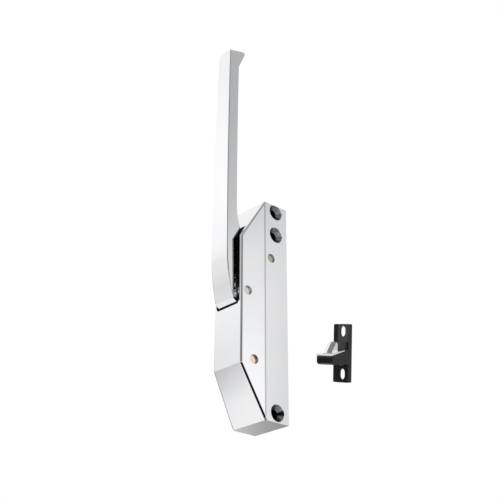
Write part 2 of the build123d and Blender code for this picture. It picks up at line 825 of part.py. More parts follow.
def strike_side_outline(points, width):
    """A side outline of the strike, pulled to both sides of its middle plane."""
    with BuildSketch(strike_side) as outline:
        with BuildLine():
            Polyline(*points, close=True)
        make_face()
    extrude(outline.sketch, amount=width / 2, both=True)


def upright_bars(radius, z_low, z_high, mode=Mode.ADD):
    """Round bars along the strike's own z at the two rivet places."""
    for across, along in rivet_spots:
        with Locations(strike_place * Location((across, along, z_low))):
            Cylinder(radius, z_high - z_low, align=(Align.CENTER, Align.CENTER, Align.MIN), mode=mode)


with BuildPart() as strike_bracket:
    with BuildSketch(strike_front):
        RectangleRounded(strike_width, strike_height, strike_corner_radius)
    extrude(amount=strike_thickness)
    with BuildSketch(strike_level):
        with BuildLine():
            Polyline(
                (flat_edge_x, plate_front),
                (-strike_width / 2, plate_front + strike_edge_drop),
                (-strike_width / 2 - 1.0, plate_front + strike_edge_drop),
                (-strike_width / 2 - 1.0, plate_front - 1.0),
                (flat_edge_x, plate_front - 1.0),
                close=True,
            )
        make_face()
    extrude(amount=strike_height, both=True, mode=Mode.SUBTRACT)
    strike_side_outline(
        [
            (plate_front / 2, shelf_root_top),
            (plate_front, shelf_root_top),
            (wear_plate_end, wear_plate_end_z),
            (wear_plate_end, seat_rear_z),
            (shelf_front, seat_front_z),
            (shelf_front, shelf_bottom),
            (plate_front / 2, shelf_bottom),
        ],
        strike_width,
    )
    across = Axis(strike_side.origin, strike_side.z_dir)
    nose_edges = strike_bracket.edges().filter_by(across).sort_by(shelf_ahead)[-2:]
    fillet(nose_edges.sort_by(strike_up)[:1], radius=shelf_nose_radius)
    lip_edges = strike_bracket.edges().filter_by(across).sort_by(shelf_ahead)[-2:]
    fillet(lip_edges.sort_by(strike_up)[-1:], radius=shelf_lip_radius)
    nose_sides = strike_bracket.edges().filter_by(strike_up).sort_by(shelf_ahead)[-2:]
    fillet(nose_sides, radius=shelf_corner_radius)
    upright_bars(rivet_radius + pin_seat_gap, shelf_bottom - 1.0, shelf_root_top, Mode.SUBTRACT)
    upright_bars(rivet_head_radius + running_gap, shelf_bottom - 1.0, head_z, Mode.SUBTRACT)
    with BuildSketch(strike_front):
        with Locations(*slot_spots):
            SlotOverall(slot_length, slot_width, rotation=90)
    extrude(amount=2 * strike_thickness, both=True, mode=Mode.SUBTRACT)
    with BuildSketch(strike_front):
        with Locations(*((across - slot_relief_side / 2, above) for across, above in slot_spots)):
            Rectangle(slot_width + slot_relief_side + 2 * slot_relief_end,
                      slot_length + 2 * slot_relief_end)
    extrude(amount=strike_thickness - slot_web, mode=Mode.SUBTRACT)
finish(strike_bracket, "strike_bracket")

with BuildPart() as strike_wear_plate:
    strike_side_outline(
        [
            (tooth_rear, tooth_base_z - tooth_root),
            (tooth_rear, tooth_base_z + tooth_height),
            (tooth_rear - tooth_top_length, tooth_base_z + tooth_height),
            (tooth_front, tooth_front_z - tooth_root),
        ],
        tooth_width,
    )
    top_face = strike_wear_plate.faces().sort_by(strike_up)[-1]
    fillet(top_face.edges().sort_by(SortBy.LENGTH)[:2], radius=tooth_corner_radius)
    strike_side_outline(
        [
            (wear_plate_end - running_gap, seat_rear_z + pin_seat_gap),
            (wear_plate_end - running_gap, wear_plate_end_z),
            (shelf_front, shelf_nose_top),
            (shelf_front, seat_front_z + pin_seat_gap),
        ],
        strike_width,
    )
    upright_bars(rivet_radius + pin_seat_gap, shelf_bottom, rivet_top_z, Mode.SUBTRACT)
    lip_edge = (
        strike_wear_plate.edges()
        .filter_by(Axis(strike_side.origin, strike_side.z_dir))
        .sort_by(shelf_ahead)[-2:]
        .sort_by(strike_up)[-1:]
    )
    fillet(lip_edge, radius=wear_plate_round)
finish(strike_wear_plate, "strike_wear_plate")

with BuildPart() as strike_rivets:
    upright_bars(rivet_radius, shelf_bottom, rivet_top_z - running_gap)
    upright_bars(rivet_head_radius, shelf_bottom, head_z - running_gap)
finish(strike_rivets, "strike_rivets")
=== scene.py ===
"""Looks of the edge-mount handle latch and its strike, in metres, in the frame of its CAD."""

import bmesh
import bpy
import math
from mathutils import Matrix, Vector


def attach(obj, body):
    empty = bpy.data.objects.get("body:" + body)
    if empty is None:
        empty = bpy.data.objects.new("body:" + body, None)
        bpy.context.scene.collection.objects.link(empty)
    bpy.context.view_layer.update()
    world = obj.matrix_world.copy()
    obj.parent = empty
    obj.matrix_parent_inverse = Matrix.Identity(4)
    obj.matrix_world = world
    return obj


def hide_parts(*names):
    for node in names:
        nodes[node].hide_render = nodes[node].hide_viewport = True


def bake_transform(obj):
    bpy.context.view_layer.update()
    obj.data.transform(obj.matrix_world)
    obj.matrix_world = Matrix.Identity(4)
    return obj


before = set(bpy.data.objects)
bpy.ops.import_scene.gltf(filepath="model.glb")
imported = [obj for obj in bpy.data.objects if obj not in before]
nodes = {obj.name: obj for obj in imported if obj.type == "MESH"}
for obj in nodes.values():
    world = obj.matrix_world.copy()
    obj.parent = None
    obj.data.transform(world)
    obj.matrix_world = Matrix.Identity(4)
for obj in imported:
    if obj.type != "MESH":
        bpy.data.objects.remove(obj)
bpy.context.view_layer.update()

# Places and sizes that the CAD gives, in metres. The two floors lie this far from the middle plane.
handle_pivot = Vector((0.0, -0.0241, 0.0794))
bolt_pivot = Vector((0.0, -0.0191, 0.0323))
spring_anchor = Vector((0.0, -0.0047, 0.1080))
spring_pin = Vector((0.0, -0.0221, 0.0995))
link_top = Vector((0.0, -0.0142273, 0.0737))
link_bottom = Vector((0.0, -0.0021, 0.0420))
screw_centres = [Vector((0.0, 0.0, z)) for z in (0.0, 0.1272, 0.1448)]
countersink_radius = 0.0056
countersink_floor = 0.009
pin_recess_radius = 0.0033
pin_recess_floor = 0.0125
pocket_half_width = 0.0132
pocket_front_reach = 0.0290
stop_bar_front = -0.0231
stop_bar_middle_z = 0.1203

# The strike's own frame: x across its plate, z up, its back face at y = 0
strike_turn = Matrix.Identity(3)
for degrees, axis in ((13.3, "X"), (16.2, "Y"), (-8.3, "Z")):
    strike_turn = strike_turn @ Matrix.Rotation(math.radians(degrees), 3, axis)
strike_centre = Vector((0.0155, 0.0644, 0.0567))

# Depths of marks on the surfaces
micron = 0.000001
cast_grain = 30 * micron
lathe_grooves = 30 * micron

# Sockets of the Mix node by number, because their names repeat
colour_a, colour_b, colour_out = 6, 7, 2
number_a, number_b, number_out = 2, 3, 0

# A wave texture of this scale repeats once a metre
once_a_metre = math.pi / 10

# What the camera sees round the object, and how many sides the round staging has
pure_white = (1, 1, 1, 1)
round_sides = 96


def linear(hex_colour):
    """An sRGB hex colour as linear red, green, blue and alpha."""
    parts = [int(hex_colour[i : i + 2], 16) / 255 for i in (1, 3, 5)]
    return [c / 12.92 if c <= 0.04045 else ((c + 0.055) / 1.055) ** 2.4 for c in parts] + [1.0]


def add(tree, kind, links=None, values=None, **settings):
    """Adds a node. Settings are its properties, values its sockets, and links feed its sockets."""
    made = tree.nodes.new(kind)
    for name, value in settings.items():
        setattr(made, name, value)
    for socket, value in (values or {}).items():
        made.inputs[socket].default_value = value
    for socket, source in (links or {}).items():
        tree.links.new(source, made.inputs[socket])
    return made


def to_surface(tree, shader):
    """Makes a shader what the material shows."""
    output = next(n for n in tree.nodes if n.type == "OUTPUT_MATERIAL")
    tree.links.new(shader.outputs[0], output.inputs["Surface"])


def axes_turn(x_way, y_way, z_way):
    """The turn that takes x, y and z to these three directions."""
    return Matrix((x_way, y_way, z_way)).transposed().to_4x4()


def start_material(name, values):
    """A named material with one Principled shader."""
    material = bpy.data.materials.new(name)
    material.use_nodes = True
    tree = material.node_tree
    tree.nodes.clear()
    shader = add(tree, "ShaderNodeBsdfPrincipled", values=values)
    add(tree, "ShaderNodeOutputMaterial", links={"Surface": shader.outputs["BSDF"]})
    place = add(tree, "ShaderNodeTexCoord").outputs["Object"]
    return material, tree, shader, place


def wander(tree, place, size, low=0.0, high=1.0, stretch=(1.0, 1.0, 1.0), detail=2.0):
    """A value that drifts between low and high in spots about size metres across."""
    scale = [1.0 / (size * s) for s in stretch]
    spots = add(tree, "ShaderNodeMapping", links={"Vector": place}, values={"Scale": scale})
    noise = add(
        tree,
        "ShaderNodeTexNoise",
        links={"Vector": spots.outputs[0]},
        values={"Scale": 1.0, "Detail": detail, "Roughness": 0.5},
    )
    span = {"From Min": 0.3, "From Max": 0.7, "To Min": low, "To Max": high}
    return add(
        tree, "ShaderNodeMapRange", links={"Value": noise.outputs["Fac"]}, values=span
    ).outputs[0]


def from_cross_axis(tree, place, centre):
    """Distance in metres from the line through a point that runs straight across the latch."""
    offset = add(
        tree,
        "ShaderNodeVectorMath",
        links={0: place},
        values={1: (0.0, 1.0, 1.0), 2: (0.0, -centre[1], -centre[2])},
        operation="MULTIPLY_ADD",
    )
    length = add(tree, "ShaderNodeVectorMath", links={0: offset.outputs[0]}, operation="LENGTH")
    return length.outputs["Value"]


def inside(tree, place, planes, soft=0.0002):
    """1 in a space bounded by planes. Each is a direction and how far along it the space ends.

    Over the last stretch of it, as long as soft, the value falls to 0.
    """
    mask = None
    for way, end in planes:
        along = add(
            tree, "ShaderNodeVectorMath", links={0: place}, values={1: way}, operation="DOT_PRODUCT"
        )
        near = add(
            tree,
            "ShaderNodeMapRange",
            links={"Value": along.outputs["Value"]},
            values={"From Min": end, "From Max": end - soft},
        ).outputs[0]
        if mask is None:
            mask = near
        else:
            mask = add(
                tree, "ShaderNodeMath", links={0: mask, 1: near}, operation="MULTIPLY"
            ).outputs[0]
    return mask


def near_axes(tree, place, centres, radius, side, both_sides=True):
    """1 within a radius of any of some lines across the latch, where x is beyond side."""
    soft = 0.0001
    mask = None
    for centre in centres:
        near = add(
            tree,
            "ShaderNodeMapRange",
            links={"Value": from_cross_axis(tree, place, centre)},
            values={"From Min": radius, "From Max": radius - soft},
        ).outputs[0]
        if mask is None:
            mask = near
        else:
            mask = add(
                tree, "ShaderNodeMath", links={0: mask, 1: near}, operation="MAXIMUM"
            ).outputs[0]
    across = add(tree, "ShaderNodeSeparateXYZ", links={0: place}).outputs["X"]
    if both_sides:
        across = add(tree, "ShaderNodeMath", links={0: across}, operation="ABSOLUTE").outputs[0]
    beyond = add(
        tree, "ShaderNodeMath", links={0: across}, values={1: side}, operation="GREATER_THAN"
    ).outputs[0]
    return add(tree, "ShaderNodeMath", links={0: mask, 1: beyond}, operation="MULTIPLY").outputs[0]


def turned_rings(tree, place, centre, spacing):
    """Fine tool rings about a line across the latch, as a height from 0 to 1."""
    offset = add(
        tree,
        "ShaderNodeVectorMath",
        links={0: place},
        values={1: tuple(centre)},
        operation="SUBTRACT",
    )
    wave = add(
        tree,
        "ShaderNodeTexWave",
        links={"Vector": offset.outputs[0]},
        values={"Scale": once_a_metre / spacing, "Distortion": 0.3, "Detail": 1.0},
        wave_type="RINGS",
        rings_direction="X",
    )
    return wave.outputs["Fac"]


def relieve(tree, shader, layers):
    """Bumps laid over each other. Each is a height, its depth in metres, and where it shows."""
    normal = None
    for height, depth, mask in layers:
        links = {"Height": height}
        if normal is not None:
            links["Normal"] = normal
        if mask is not None:
            links["Strength"] = mask
        normal = add(
            tree, "ShaderNodeBump", links=links, values={"Strength": 1.0, "Distance": depth}
        ).outputs["Normal"]
    tree.links.new(normal, shader.inputs["Normal"])


def coat(tree, shader, base, layers):
    """Base colour and roughness, changed by layers, each a mask, a colour and a roughness."""
    colour, roughness = base
    for mask, layer_colour, layer_roughness in layers:
        colour = add(
            tree,
            "ShaderNodeMix",
            links={"Factor": mask, colour_a: colour, colour_b: layer_colour},
            data_type="RGBA",
        ).outputs[colour_out]
        roughness = add(
            tree,
            "ShaderNodeMix",
            links={"Factor": mask, number_a: roughness, number_b: layer_roughness},
            data_type="FLOAT",
        ).outputs[number_out]
    tree.links.new(colour, shader.inputs["Base Color"])
    tree.links.new(roughness, shader.inputs["Roughness"])


def patchy(tree, place, size, first, second):
    """A colour that drifts between two in spots about size metres across."""
    amount = wander(tree, place, size, detail=3.0)
    return add(
        tree,
        "ShaderNodeMix",
        links={"Factor": amount},
        values={colour_a: linear(first), colour_b: linear(second)},
        data_type="RGBA",
    ).outputs[colour_out]


def pocket_shade_skin(tree, place):
    """As-cast zinc that plating never reached, painted dark for the shade inside the pocket: dull and
    slightly blotchy.
    """
    colour = patchy(tree, place, size=0.004, first="#2B2C2E", second="#3D3E40")
    return colour, wander(tree, place, size=0.002, low=0.42, high=0.6)


def chrome_plate(tree, place):
    """Decorative chrome on a buffed casting: near-mirror, a little duller where hands rub it."""
    colour = patchy(tree, place, size=0.03, first="#E3E4E6", second="#E7E7E8")
    return colour, wander(tree, place, size=0.008, low=0.045, high=0.085, stretch=(1.0, 1.0, 4.0))


def chrome_relief(tree, place):
    """Long buffing lines over the faint waves that a cast surface keeps under its plating."""
    waves = wander(tree, place, size=0.012, stretch=(1.0, 1.0, 2.0), detail=1.0)
    lines = wander(tree, place, size=0.0003, stretch=(1.0, 1.0, 60.0), detail=1.0)
    return [(waves, 6 * micron, None), (lines, 0.2 * micron, None)]


def casting_material():
    """The casing: chrome outside, a raw pocket painted dark for its shade, turned countersinks painted
    darker for the shade in their cones, and pin recesses.
    """
    material, tree, shader, place = start_material("chromed_zinc_casting", {"Metallic": 1.0})
    # The pocket's walls, slanted corners, front, back, insides of the two bevels, top and foot
    pocket_ends = [
        ((1.0, 0.0, 0.0), pocket_half_width),
        ((-1.0, 0.0, 0.0), pocket_half_width),
        ((1.0, -1.45, 0.0), 0.0516),
        ((-1.0, -1.45, 0.0), 0.0516),
        ((0.0, -1.0, 0.0), pocket_front_reach),
        ((0.0, 1.0, 0.0), 0.0085),
        ((0.0, -0.8536, 0.521), 0.0868),
        ((0.0, -0.8766, -0.481), 0.01176),
        ((0.0, 0.0, 1.0), 0.1485),
        ((0.0, 0.0, -1.0), 0.0045),
    ]
    pocket = inside(tree, place, pocket_ends)
    sinks = near_axes(
        tree, place, screw_centres, countersink_radius, countersink_floor, both_sides=False
    )
    pins = [handle_pivot, bolt_pivot, spring_anchor]
    recesses = near_axes(tree, place, pins, pin_recess_radius, pin_recess_floor)
    # Painted shade: the pocket's raw zinc is coloured dark for the shade inside it
    pocket_shade_colour, skin_roughness = pocket_shade_skin(tree, place)
    # Painted shade: the countersinks' cones are coloured darker than their turned metal, for the shade
    # inside them
    shaded_cone_colour = patchy(tree, place, size=0.003, first="#737476", second="#97989A")
    cone_roughness = wander(tree, place, size=0.002, low=0.16, high=0.26)
    recess_colour = patchy(tree, place, size=0.002, first="#D8D9DA", second="#E0E1E2")
    recess_roughness = wander(tree, place, size=0.001, low=0.45, high=0.55)
    coat(
        tree,
        shader,
        chrome_plate(tree, place),
        [
            (pocket, pocket_shade_colour, skin_roughness),
            (sinks, shaded_cone_colour, cone_roughness),
            (recesses, recess_colour, recess_roughness),
        ],
    )
    layers = chrome_relief(tree, place)
    layers.append((wander(tree, place, size=0.0004), cast_grain, pocket))
    for centre in screw_centres:
        sink = near_axes(
            tree, place, [centre], countersink_radius, countersink_floor, both_sides=False
        )
        rings = turned_rings(tree, place, centre, spacing=0.0009)
        layers.append((rings, lathe_grooves, sink))
    relieve(tree, shader, layers)
    return material


def handle_material():
    """The handle: chrome all over, with raw zinc painted dark for shade only on the hub and lugs that
    stay inside the pocket.
    """
    material, tree, shader, place = start_material("chromed_handle", {"Metallic": 1.0})
    lugs_top = 0.122
    hidden_ends = [((0.0, -1.0, 0.0), pocket_front_reach), ((0.0, 0.0, 1.0), lugs_top)]
    hidden = inside(tree, place, hidden_ends, soft=0.0004)
    # Painted shade: the hub and lugs inside the pocket are coloured dark for the shade there
    pocket_shade_colour, skin_roughness = pocket_shade_skin(tree, place)
    coat(tree, shader, chrome_plate(tree, place), [(hidden, pocket_shade_colour, skin_roughness)])
    layers = chrome_relief(tree, place)
    layers.append((wander(tree, place, size=0.0004), cast_grain, hidden))
    relieve(tree, shader, layers)
    return material


def wear_plate_material():
    """The strike's insert: chrome, with the tooth's ramp painted grey for the dark reflection its
    chrome shows there.
    """
    material, tree, shader, place = start_material("chromed_wear_plate", {"Metallic": 1.0})

    # The ramp is what faces within 10 degrees of its own direction, and it is gone at 21.6
    normal = add(tree, "ShaderNodeNewGeometry").outputs["Normal"]
    ramp_way = strike_turn @ Vector((0.0, -0.82, 0.573))
    facing = add(
        tree,
        "ShaderNodeVectorMath",
        links={0: normal},
        values={1: tuple(ramp_way)},
        operation="DOT_PRODUCT",
    )
    ramp = add(
        tree,
        "ShaderNodeMapRange",
        links={"Value": facing.outputs["Value"]},
        values={"From Min": 0.93, "From Max": 0.985},
    ).outputs[0]

    # More than 1.6 mm to one side of the strike's middle, the tooth stays bright, outside the painted
    # reflection
    across = strike_turn @ Vector((-1.0, 0.0, 0.0))
    reflection_side_end = across.dot(strike_centre) + 0.0016
    reflection_side = inside(tree, place, [(tuple(across), reflection_side_end)], soft=0.0008)
    ramp = add(tree, "ShaderNodeMath", links={0: ramp, 1: reflection_side}, operation="MULTIPLY").outputs[0]
    # Painted reflection: the ramp is coloured a mottled grey for the dark that its chrome reflects,
    # and made rougher
    painted_reflection_grey = patchy(tree, place, size=0.0014, first="#66686A", second="#9A9C9E")
    ramp_roughness = wander(tree, place, size=0.001, low=0.35, high=0.5)
    coat(tree, shader, chrome_plate(tree, place), [(ramp, painted_reflection_grey, ramp_roughness)])
    grains = wander(tree, place, size=0.0003)
    relieve(tree, shader, chrome_relief(tree, place) + [(grains, 20 * micron, ramp)])
    return material


def turned_metal(name, centre, first, second, roughness):
    """Bar stock turned on a lathe: satin, with fine rings on its ends and faint stains."""
    material, tree, shader, place = start_material(name, {"Metallic": 1.0})
    stains = patchy(tree, place, size=0.0015, first=first, second=second)
    sheen = wander(tree, place, size=0.0008, low=roughness - 0.04, high=roughness + 0.05)
    coat(tree, shader, (stains, sheen), [])
    rings = turned_rings(tree, place, centre, spacing=0.00025)
    scuffs = wander(tree, place, size=0.0006, stretch=(8.0, 1.0, 1.0))
    relieve(tree, shader, [(rings, 0.9 * micron, None), (scuffs, 1 * micron, None)])
    return material


def zinc_material():
    """Bright zinc plating on stamped steel: blue-grey clouds, a fine tumbled grain, dull sheen."""
    material, tree, shader, place = start_material("zinc_plated_steel", {"Metallic": 1.0})
    clouds = patchy(tree, place, size=0.005, first="#B9BEC2", second="#A9ABA8")
    sheen = wander(tree, place, size=0.0012, low=0.26, high=0.42)
    coat(tree, shader, (clouds, sheen), [])
    dents = wander(tree, place, size=0.0016)
    grain = wander(tree, place, size=0.00025)
    relieve(tree, shader, [(dents, 10 * micron, None), (grain, 3 * micron, None)])
    return material


def wire_material():
    """Drawn spring wire, oil-tempered: dark grey with faint blue-brown heat tint and die lines."""
    material, tree, shader, place = start_material("drawn_spring_wire", {"Metallic": 1.0})
    tint = patchy(tree, place, size=0.003, first="#84898F", second="#948F88")
    sheen = wander(tree, place, size=0.0006, low=0.24, high=0.38)
    coat(tree, shader, (tint, sheen), [])
    lines = wander(tree, place, size=0.00012, stretch=(6.0, 1.0, 1.0))
    relieve(tree, shader, [(lines, 2 * micron, None)])
    return material


def clip_material():
    """Phosphated spring steel of the retaining clips: charcoal, matt, with bare rubbed spots."""
    material, tree, shader, place = start_material("phosphated_clip_steel", {"Metallic": 0.9})
    rubbed = wander(tree, place, size=0.0009, low=-1.2, high=1.0)
    steel = patchy(tree, place, size=0.001, first="#8B8E90", second="#7D8083")
    charcoal = patchy(tree, place, size=0.0008, first="#37383A", second="#454648")
    dull = wander(tree, place, size=0.0005, low=0.45, high=0.6)
    bare = wander(tree, place, size=0.0005, low=0.28, high=0.36)
    coat(tree, shader, (charcoal, dull), [(rubbed, steel, bare)])
    relieve(tree, shader, [(wander(tree, place, size=0.0002), 4 * micron, None)])
    return material


def black_material():
    """Gloss black stoving enamel on the cast strike: deep black with a soft orange peel."""
    material, tree, shader, place = start_material("black_enamel", {"Specular IOR Level": 0.5})
    depth = patchy(tree, place, size=0.006, first="#0F0F11", second="#161618")
    gloss = wander(tree, place, size=0.004, low=0.11, high=0.2)
    coat(tree, shader, (depth, gloss), [])
    peel = wander(tree, place, size=0.0011, detail=1.0)
    cast = wander(tree, place, size=0.004, detail=1.0)
    relieve(tree, shader, [(cast, 10 * micron, None), (peel, 3 * micron, None)])
    return material


def acetal_material(name, first, second, roughness):
    """Machined acetal: milky and slightly waxy, or dark, lathe-lined."""
    values = {"Subsurface Weight": 0.1, "Subsurface Scale": 0.001}
    material, tree, shader, place = start_material(name, values)
    milk = patchy(tree, place, size=0.003, first=first, second=second)
    sheen = wander(tree, place, size=0.001, low=roughness - 0.06, high=roughness + 0.06)
    coat(tree, shader, (milk, sheen), [])
    lathe_spacing = 0.0003
    lathe = add(
        tree,
        "ShaderNodeTexWave",
        links={"Vector": place},
        values={"Scale": once_a_metre / lathe_spacing, "Distortion": 0.4},
        wave_type="BANDS",
        bands_direction="X",
    ).outputs["Fac"]
    relieve(tree, shader, [(lathe, 3 * micron, None)])
    return material


def rubber_material():
    """Moulded nitrile rubber: charcoal black with a matt grain and a breath of grey bloom."""
    material, tree, shader, place = start_material("moulded_rubber", {"Specular IOR Level": 0.35})
    bloom = patchy(tree, place, size=0.0025, first="#161617", second="#262627")
    matt = wander(tree, place, size=0.001, low=0.62, high=0.8)
    coat(tree, shader, (bloom, matt), [])
    grain = wander(tree, place, size=0.00022)
    relieve(tree, shader, [(grain, 10 * micron, None)])
    return material


# Which finish each CAD piece gets. The rubber pad made below shares its rubber.
rubber = rubber_material()
finishes = [
    (casting_material(), ["casing"]),
    (handle_material(), ["handle"]),
    (wear_plate_material(), ["strike_wear_plate"]),
    (turned_metal("turned_steel_pin", handle_pivot, "#E0E0DA", "#D8D8D2", 0.15), ["handle_pivot_pin"]),
    (
        turned_metal("grey_green_passivated_pin", spring_anchor, "#B8BBAA", "#ADB09F", 0.16),
        ["spring_anchor_pin"],
    ),
    (turned_metal("copper_washed_pin", bolt_pivot, "#FFDDD3", "#FFD8CB", 0.13), ["bolt_pivot_pin"]),
    (turned_metal("turned_link_pin", link_top, "#B3B6B8", "#A4A7A9", 0.28), ["link_upper_pin"]),
    (
        turned_metal("turned_bolt_link_pin", link_bottom, "#B3B6B8", "#A4A7A9", 0.28),
        ["link_lower_pin"],
    ),
    (turned_metal("turned_spring_pin", spring_pin, "#A9ACAE", "#9A9D9F", 0.3), ["spring_hook_pin"]),
    (zinc_material(), ["link_plates", "latch_bolt", "strike_rivets"]),
    (wire_material(), ["handle_return_spring", "bolt_torsion_spring"]),
    (clip_material(), ["link_upper_clip", "link_lower_clip"]),
    (black_material(), ["strike_bracket"]),
    (
        acetal_material("machined_acetal", "#DEDCD3", "#D3D0C5", 0.4),
        ["bolt_pivot_spacers", "spring_anchor_sleeves"],
    ),
    (acetal_material("dark_acetal", "#2E2D2B", "#43413D", 0.26), ["handle_pivot_washers"]),
    (rubber, ["handle_rest_pad"]),
]
for material, names in finishes:
    for name in names:
        piece = nodes[name]
        piece.data.materials.clear()
        piece.data.materials.append(material)


def round_wire(node, name):
    """The CAD spring with its facets joined up, so that the wire looks round."""
    piece = nodes[node].copy()
    piece.data = nodes[node].data.copy()
    piece.name = name
    piece.data.name = name
    piece.parent = None
    bpy.context.scene.collection.objects.link(piece)
    bpy.ops.object.select_all(action="DESELECT")
    piece.select_set(True)
    bpy.context.view_layer.objects.active = piece
    bpy.ops.object.mode_set(mode="EDIT")
    bpy.ops.mesh.select_all(action="SELECT")
    bpy.ops.mesh.remove_doubles(threshold=micron)
    bpy.ops.object.mode_set(mode="OBJECT")
    bpy.ops.object.shade_smooth_by_angle(angle=math.radians(50.0))
    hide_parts(node)
    return piece


# Extension spring, with one hook on the casing's pin and the other on the handle's pin: a round-wire
# copy, its transform baked in
return_spring = round_wire("handle_return_spring", "return_spring_wire")
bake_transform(return_spring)

# Torsion spring, with its foot on the casing and its leg in the bolt: a round-wire copy, its transform
# baked in
torsion_spring = round_wire("bolt_torsion_spring", "torsion_spring_wire")
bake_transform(torsion_spring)

# Rubber rest for the handle: a moulded pad with a raised face and rounded edges
pad_width, pad_thickness, pad_height, pad_crown = 0.010, 0.0027, 0.008, 0.0005
pad_border, pad_edge_radius = 0.0014, 0.0005
pad_middle_y = stop_bar_front - (pad_thickness - pad_crown) / 2
bpy.ops.object.select_all(action="DESELECT")
bpy.ops.mesh.primitive_cube_add(size=1.0, location=(0.0, pad_middle_y, stop_bar_middle_z))
pad = bpy.context.object
pad.name = "rubber_rest"
pad.scale = (pad_width, pad_thickness - pad_crown, pad_height)
bpy.ops.object.transform_apply(location=True, rotation=False, scale=True)
bpy.ops.object.mode_set(mode="EDIT")
bpy.ops.mesh.select_all(action="DESELECT")
shape = bmesh.from_edit_mesh(pad.data)
for face in shape.faces:
    faces_forward = face.normal.y < -0.9
    face.select_set(faces_forward)
bmesh.update_edit_mesh(pad.data)
bpy.ops.mesh.inset(thickness=pad_border)
bpy.ops.transform.translate(value=(0.0, -pad_crown, 0.0))
bpy.ops.object.mode_set(mode="OBJECT")
rounding = pad.modifiers.new("rounding", "BEVEL")
rounding.width = pad_edge_radius
rounding.segments = 4
rounding.limit_method = "ANGLE"
rounding.angle_limit = math.radians(15.0)
bpy.ops.object.modifier_apply(modifier=rounding.name)
bpy.ops.object.shade_smooth_by_angle(angle=math.radians(40.0))
pad.data.materials.append(rubber)
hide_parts("handle_rest_pad")
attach(pad, "latch_body")

# Floor, a round pale table top well below the camera, which looks up at the latch. The camera sees
# its rim fade into the white backdrop.
floor_radius, floor_fade_starts, floor_fade_ends = 1.6, 0.7, 1.5
floor_height = -0.64
bpy.ops.object.select_all(action="DESELECT")
bpy.ops.mesh.primitive_circle_add(
    vertices=round_sides, radius=floor_radius, fill_type="NGON", location=(0.0, 0.0, floor_height)
)
floor = bpy.context.object
floor.name = "floor"
floor_material, tree, shader, place = start_material(
    "pale_floor", {"Base Color": linear("#F4F4F4"), "Roughness": 0.9}
)
reach = add(tree, "ShaderNodeVectorMath", links={0: place}, operation="LENGTH")
rim = add(
    tree,
    "ShaderNodeMapRange",
    links={"Value": reach.outputs["Value"]},
    values={"From Min": floor_fade_starts, "From Max": floor_fade_ends},
    interpolation_type="SMOOTHSTEP",
)
rays = add(tree, "ShaderNodeLightPath")
shown = add(
    tree,
    "ShaderNodeMath",
    links={0: rim.outputs[0], 1: rays.outputs["Is Camera Ray"]},
    operation="MULTIPLY",
)
white = add(tree, "ShaderNodeEmission", values={"Color": pure_white, "Strength": 1.0})
mixed = add(
    tree,
    "ShaderNodeMixShader",
    links={"Fac": shown.outputs[0], 1: shader.outputs[0], 2: white.outputs[0]},
)
to_surface(tree, mixed)
floor.data.materials.append(floor_material)
floor.visible_glossy = False

# World: a white tent of cloth panels, dimmer high up behind the countersunk side, with grey seams,
# a dark gap on the plain side and a dark opening high above the camera. Reflections and light see
# the tent, and the camera sees plain white. Each panel is a list of heights with a brightness, and
# the brightness is divided by tent_scale while it is a colour, because a colour ramp ends at 1.
tent_scale = 1.25
front_panel = [
    (-1.0, 1.0), (-0.385, 1.1), (-0.365, 1.08), (-0.355, 0.93), (-0.349, 0.82), (-0.343, 0.74),
    (-0.337, 0.69), (-0.2, 0.66), (-0.1, 0.85), (-0.02, 0.98), (0.06, 0.92), (0.16, 0.88),
    (0.26, 0.98), (0.345, 1.01), (0.373, 1.09), (0.443, 1.17), (0.48, 1.23), (0.545, 1.21),
    (0.59, 1.13), (0.73, 1.06), (1.0, 1.1),
]
side_panel = [
    (-1.0, 0.5), (-0.18, 0.72), (-0.05, 0.75), (0.1, 1.1), (0.309, 1.2), (0.355, 1.13),
    (0.391, 1.03), (0.434, 0.955), (0.49, 0.7), (0.556, 0.6), (1.0, 0.6),
]
rear_panel = [
    (-1.0, 0.5), (-0.2, 0.7), (0.05, 0.95), (0.309, 0.99), (0.355, 0.98), (0.4, 0.97),
    (0.445, 0.88), (0.49, 0.69), (0.525, 0.65), (0.556, 0.6), (0.59, 0.57), (1.0, 0.6),
]
world = bpy.data.worlds.new("tent")
bpy.context.scene.world = world
world.use_nodes = True
tree = world.node_tree
tree.nodes.clear()
way = add(tree, "ShaderNodeTexCoord").outputs["Generated"]
height = add(tree, "ShaderNodeSeparateXYZ", links={0: way}).outputs["Z"]
flat_way = add(
    tree, "ShaderNodeVectorMath", links={0: way}, values={1: (1, 1, 0)}, operation="MULTIPLY"
)
level_way = add(
    tree, "ShaderNodeVectorMath", links={0: flat_way.outputs[0]}, operation="NORMALIZE"
)


def side_mask(azimuth, near, far):
    """1 within near degrees of an azimuth, falling to 0 at far degrees."""
    a = math.radians(azimuth)
    facing = add(
        tree,
        "ShaderNodeVectorMath",
        links={0: level_way.outputs[0]},
        values={1: (math.sin(a), -math.cos(a), 0)},
        operation="DOT_PRODUCT",
    )
    span = {"From Min": math.cos(math.radians(far)), "From Max": math.cos(math.radians(near))}
    return add(
        tree,
        "ShaderNodeMapRange",
        links={"Value": facing.outputs["Value"]},
        values=span,
        interpolation_type="SMOOTHSTEP",
    ).outputs[0]


def tent_patch(azimuth, near, far, heights):
    """A mask near an azimuth that changes with height too, by low, high, and its value at each."""
    mask = side_mask(azimuth, near, far)
    for low, high, at_low, at_high in heights:
        level_mask = add(
            tree,
            "ShaderNodeMapRange",
            links={"Value": height},
            values={"From Min": low, "From Max": high, "To Min": at_low, "To Max": at_high},
            interpolation_type="SMOOTHSTEP",
        ).outputs[0]
        mask = add(
            tree, "ShaderNodeMath", links={0: mask, 1: level_mask}, operation="MULTIPLY"
        ).outputs[0]
    return mask


